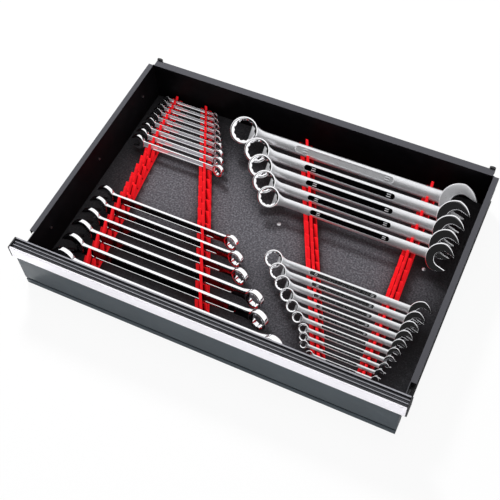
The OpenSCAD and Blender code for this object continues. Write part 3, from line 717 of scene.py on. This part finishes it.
def open_end(b, s, index):
    """An open end with tapered, turned jaws and rounded edges."""
    af, ht = s.af, s.head_t
    rc, gap, cx = 0.07 * af, af / 2, 0.1 * af
    arc_r, arc_x, arc_y = 1.3 * af, -0.25 * af, 0.3 * af

    def reach_at(a):
        """How far the outline is from the jaw centre at an angle."""
        ux, uy = math.cos(a), math.sin(a)
        far = s.head_r
        for side in (-1, 1):
            along = ux * arc_x + uy * side * arc_y
            far = min(far, along + math.sqrt(along ** 2 - arc_x ** 2 - arc_y ** 2 + arc_r ** 2))
        return far

    # the angle of a jaw's tip, found by halving
    lo, hi = 0.1, 1.4
    for _ in range(40):
        m = (lo + hi) / 2
        if reach_at(m) * math.sin(m) < gap + 0.05 * af:
            lo = m
        else:
            hi = m
    outer = []
    for i in range(JAW_STEPS + 1):
        a = hi + (2 * math.pi - 2 * hi) * i / JAW_STEPS
        outer.append(Vector((reach_at(a) * math.cos(a), reach_at(a) * math.sin(a))))
    # the mouth: two straight sides and a half round, in as many steps as the outside
    straight = outer[0].x - 0.03 * af - cx
    total = 2 * straight + math.pi * gap
    inner = []
    for i in range(JAW_STEPS + 1):
        d = total * i / JAW_STEPS
        if d < straight:
            inner.append(Vector((cx + straight - d, gap)))
        elif d > total - straight:
            inner.append(Vector((cx + d - total + straight, -gap)))
        else:
            a = math.pi / 2 + (d - straight) / gap
            inner.append(Vector((cx + gap * math.cos(a), gap * math.sin(a))))
    base = outer + inner[::-1]
    n = len(base)
    room = [0.38 * (p - q).length for p, q in zip(outer, inner)]
    room += room[::-1]
    unit = [q - p for p, q in zip(base, inset(base, 1.0))]
    ct, st = math.cos(-JAW_TURN), math.sin(-JAW_TURN)

    def row(d, z):
        """The outline moved in by d, as far as the jaws have room, and put at its place."""
        pts = [p + u * min(d, m) for p, u, m in zip(base, unit, room)]
        return b.ring([(s.head_x + p.x * ct - p.y * st, p.x * st + p.y * ct, z) for p in pts])

    rows = [row(rc * (1 - math.sin(a)), -ht / 2 + rc * (1 - math.cos(a))) for a in quarter_turn(4)]
    rows += [row(rc * (1 - math.cos(a)), ht / 2 - rc * (1 - math.sin(a))) for a in quarter_turn(4)]
    for r0, r1 in zip(rows, rows[1:]):
        b.skin(r0, r1, index)
    low, top = rows[0], rows[-1]
    for i in range(JAW_STEPS):
        b.cap((top[i], top[i + 1], top[n - 2 - i], top[n - 1 - i]), index)
        b.cap((low[i + 1], low[i], low[n - 1 - i], low[n - 2 - i]), index)


def wrench(name, s, place, panel):
    b = Build()
    shank(b, s)
    ring_end(b, s)
    open_end(b, s, BODY if s.af > 30 else BRIGHT)
    b.move(place)
    body, slot = (M_POLISHED, "polished") if s.polished else (M_SATIN, "satin")
    make_piece(name + "_forging", b, [body, panel, M_POLISHED], name)


def seat_matrix(x, y, z, angle, mirrored):
    """A wrench's place: turned about its length, and mirrored where its ring is on the right."""
    place = Matrix.Translation(part(x, y, z))
    if mirrored:
        place = place @ Matrix.Scale(-1, 4, (1, 0, 0))
    return place @ Matrix.Rotation(angle, 4, "X") @ Matrix.Scale(MM, 4)


def standing(name, n, af, kind, panel):
    """A polished wrench on its edge in a slot of the left rails, with its head past the outer one."""
    s = Wrench(af, kind)
    p = foot(left_tooth(n), left_tooth(n - 1))
    widest = s.w * JAW_END
    y = p[0] - SLOT_DEPTH * SLOT_RUN + SEAT_GAP * SLOT_RUN - SEAT_GAP / math.sin(SLOT)
    z = p[1] - SLOT_DEPTH + SEAT_GAP
    y += widest / 2 * math.cos(SLOT) - s.t / 2 * math.sin(SLOT)
    z += widest / 2 * math.sin(SLOT) + s.t / 2 * math.cos(SLOT)
    x_mid, turn = OUTER_LEFT[0], math.radians(OUTER_LEFT[1])
    rail_x = x_mid - (y + s.w / 2 - INNER_D / 2) * math.tan(turn)
    swell_x = rail_x - (RAIL_W / 2 - EDGE) / math.cos(turn) - HEAD_CLEAR
    tip = swell_x - JAW_REACH * af - (HEAD_ROOT + HEAD_SWELL) * HEAD_R * af
    wrench(name, s, seat_matrix(tip + s.length, y, z + LINER_T, SLOT, True), panel)


def lying(name, n, af, tip, panel):
    """A satin wrench flat on a ramp of the right rails, with its head ending at tip."""
    s = Wrench(af, SATIN)
    f, b = right_tooth(n), right_tooth(n + 1)
    p = foot(f, b)
    sin, cos = math.sin(RAMP), math.cos(RAMP)
    overhang = (s.t + SEAT_GAP) * (sin + SLOT_RUN * cos) - slot_w(f, b) + SEAT_GAP
    slide = max(SEAT_GAP, overhang / (cos - SLOT_RUN * sin))
    up, out = slide + s.w * JAW_END / 2, SEAT_GAP + s.t / 2
    y, z = p[0] + up * cos - out * sin, p[1] + up * sin + out * cos
    wrench(name, s, seat_matrix(tip - s.length, y, z + LINER_T, RAMP, False), panel)


# The sets, each with the tooth that its wrenches are counted from
SHORT_SIZES = range(6, 15)
LONG_SIZES, LONG_TOOTH = (17, 18, 19, 21, 22, 24), 14
SATIN_SIZES, SATIN_TOOTH = (19.1, 17.5, 15.9, 14.3, 12.7, 11.1, 9.5, 8.7, 7.9, 6.4), 10
LARGE_SIZES, LARGE_TOOTH = (31.8, 28.6, 27, 25.4, 23.8), 19
TIP_X, TIP_STEP = INNER_W - 9, 4

# The broad faces of the short set carry a painted glow
for k, af in enumerate(SHORT_SIZES, 1):
    standing(f"wrench_short_{k}", k, af, SHORT, M_SHORT_FACE_PAINTED_GLOW)
# The broad faces of the long set carry a painted dark reflection
for k, af in enumerate(LONG_SIZES, 1):
    standing(f"wrench_long_{k}", LONG_TOOTH + k, af, LONG, M_FACE_PAINTED_DARK)
for k, af in enumerate(SATIN_SIZES, 1):
    lying(f"wrench_satin_{k}", SATIN_TOOTH - k, af, TIP_X - TIP_STEP * (k - 1), M_PANEL)
# The panels of large wrenches 2 to 5 carry a painted dark reflection
for k, af in enumerate(LARGE_SIZES, 1):
    lying(f"wrench_large_{k}", LARGE_TOOTH - k, af, TIP_X, M_SATIN if k == 1 else M_PANEL_PAINTED_DARK)


# Studio
FLOOR_SIZE, FLOOR_Z = 40.0, -0.0002
FLOOR_WHITE, FLOOR_GLOW = (0.95, 0.95, 0.95, 1), 0.92
SOFT_COLOUR, SOFT_STRENGTH = (0.93, 0.95, 1.0, 1), 0.22
MIRROR_BRIGHT, MIRROR_DARK = 1.3, 0.02
DARK_TOWARD, DARK_FROM, DARK_TO = (-0.26, -0.80, 0.54), 0.70, 0.87


def floor_material():
    """A floor that the camera sees mostly as plain white, and that takes shadows and throws light."""
    m = bpy.data.materials.new("studio_floor")
    m.use_nodes = True
    nt = m.node_tree
    nt.nodes.clear()
    out = add(nt, "ShaderNodeOutputMaterial")
    diffuse = add(nt, "ShaderNodeBsdfDiffuse", Color=FLOOR_WHITE)
    glow = add(nt, "ShaderNodeEmission")
    path = add(nt, "ShaderNodeLightPath")
    share = add(nt, "ShaderNodeMath", operation="MULTIPLY")
    share.inputs[1].default_value = FLOOR_GLOW
    mix = add(nt, "ShaderNodeMixShader")
    nt.links.new(path.outputs["Is Camera Ray"], share.inputs[0])
    nt.links.new(share.outputs[0], mix.inputs[0])
    nt.links.new(diffuse.outputs[0], mix.inputs[1])
    nt.links.new(glow.outputs[0], mix.inputs[2])
    nt.links.new(mix.outputs[0], out.inputs[0])
    return m


def make_floor():
    s = FLOOR_SIZE / 2
    me = bpy.data.meshes.new("studio_floor")
    me.from_pydata([(-s, -s, 0), (s, -s, 0), (s, s, 0), (-s, s, 0)], [], [(0, 1, 2, 3)])
    me.materials.append(floor_material())
    o = bpy.data.objects.new("studio_floor", me)
    o.location = (0, 0, FLOOR_Z)
    bpy.context.scene.collection.objects.link(o)


def make_world():
    """White to the eye, soft for shading, and in mirrors a bright room that is dark above the front."""
    world = bpy.data.worlds.new("studio")
    bpy.context.scene.world = world
    world.use_nodes = True
    nt = world.node_tree
    nt.nodes.clear()
    out = add(nt, "ShaderNodeOutputWorld")
    soft = add(nt, "ShaderNodeBackground", Color=SOFT_COLOUR, Strength=SOFT_STRENGTH)
    white = add(nt, "ShaderNodeBackground", Color=(1, 1, 1, 1), Strength=1.0)
    mirror = add(nt, "ShaderNodeBackground", Color=(1, 1, 1, 1))
    where = add(nt, "ShaderNodeTexCoord")
    toward = add(nt, "ShaderNodeVectorMath", operation="DOT_PRODUCT")
    toward.inputs[1].default_value = Vector(DARK_TOWARD).normalized()
    nt.links.new(where.outputs["Generated"], toward.inputs[0])
    shade = map_range(nt, toward.outputs["Value"], MIRROR_BRIGHT, MIRROR_DARK, DARK_FROM, DARK_TO)
    nt.links.new(shade, mirror.inputs["Strength"])
    path = add(nt, "ShaderNodeLightPath")
    seen = add(nt, "ShaderNodeMath", operation="MAXIMUM")
    by_eye = add(nt, "ShaderNodeMixShader")
    by_mirror = add(nt, "ShaderNodeMixShader")
    nt.links.new(path.outputs["Is Camera Ray"], seen.inputs[0])
    nt.links.new(path.outputs["Is Transmission Ray"], seen.inputs[1])
    nt.links.new(path.outputs["Is Glossy Ray"], by_mirror.inputs[0])
    nt.links.new(soft.outputs[0], by_mirror.inputs[1])
    nt.links.new(mirror.outputs[0], by_mirror.inputs[2])
    nt.links.new(seen.outputs[0], by_eye.inputs[0])
    nt.links.new(by_mirror.outputs[0], by_eye.inputs[1])
    nt.links.new(white.outputs[0], by_eye.inputs[2])
    nt.links.new(by_eye.outputs[0], out.inputs[0])


def area_light(name, location, target, size, power, size_y=None):
    """A lamp in metres and watts, hidden from reflections."""
    data = bpy.data.lights.new(name, "AREA")
    data.energy = power
    data.size = size
    if size_y:
        data.shape = "RECTANGLE"
        data.size_y = size_y
    o = bpy.data.objects.new(name, data)
    o.location = location
    o.rotation_euler = (Vector(target) - Vector(location)).to_track_quat("-Z", "Y").to_euler()
    o.visible_glossy = False
    bpy.context.scene.collection.objects.link(o)


make_floor()
make_world()
area_light("key", (-1.4, 1.5, 1.95), target=(0, 0, 0), size=0.5, power=82)
area_light("top", (0.3, 0.2, 2.6), target=(0, 0, 0), size=1.4, power=16)
area_light("front_fill", (0.35, -2.6, 0.16), target=(0, 0, 0.05), size=1.8, power=46, size_y=0.2)

# Camera at the photograph's viewpoint, its place in millimetres from the tray's corner
CAMERA_AT = (686.1, -531.3, 1246.0)
CAMERA_FORWARD, CAMERA_RIGHT = (-0.259, 0.476, -0.840), (0.904, 0.426, -0.037)
CAMERA_LENS, CAMERA_SENSOR = 64.63, 36
camera_data = bpy.data.cameras.new("camera")
camera_data.sensor_width = CAMERA_SENSOR
camera_data.lens = CAMERA_LENS
camera = bpy.data.objects.new("camera", camera_data)
bpy.context.scene.collection.objects.link(camera)
forward = Vector(CAMERA_FORWARD).normalized()
right = Vector(CAMERA_RIGHT)
right = (right - forward * right.dot(forward)).normalized()
up = right.cross(forward).normalized()
turned = Matrix((right, up, -forward)).transposed().to_4x4()
camera.matrix_world = Matrix.Translation(part(*CAMERA_AT)) @ turned
bpy.context.scene.camera = camera
bpy.context.scene.view_settings.view_transform = "Standard"
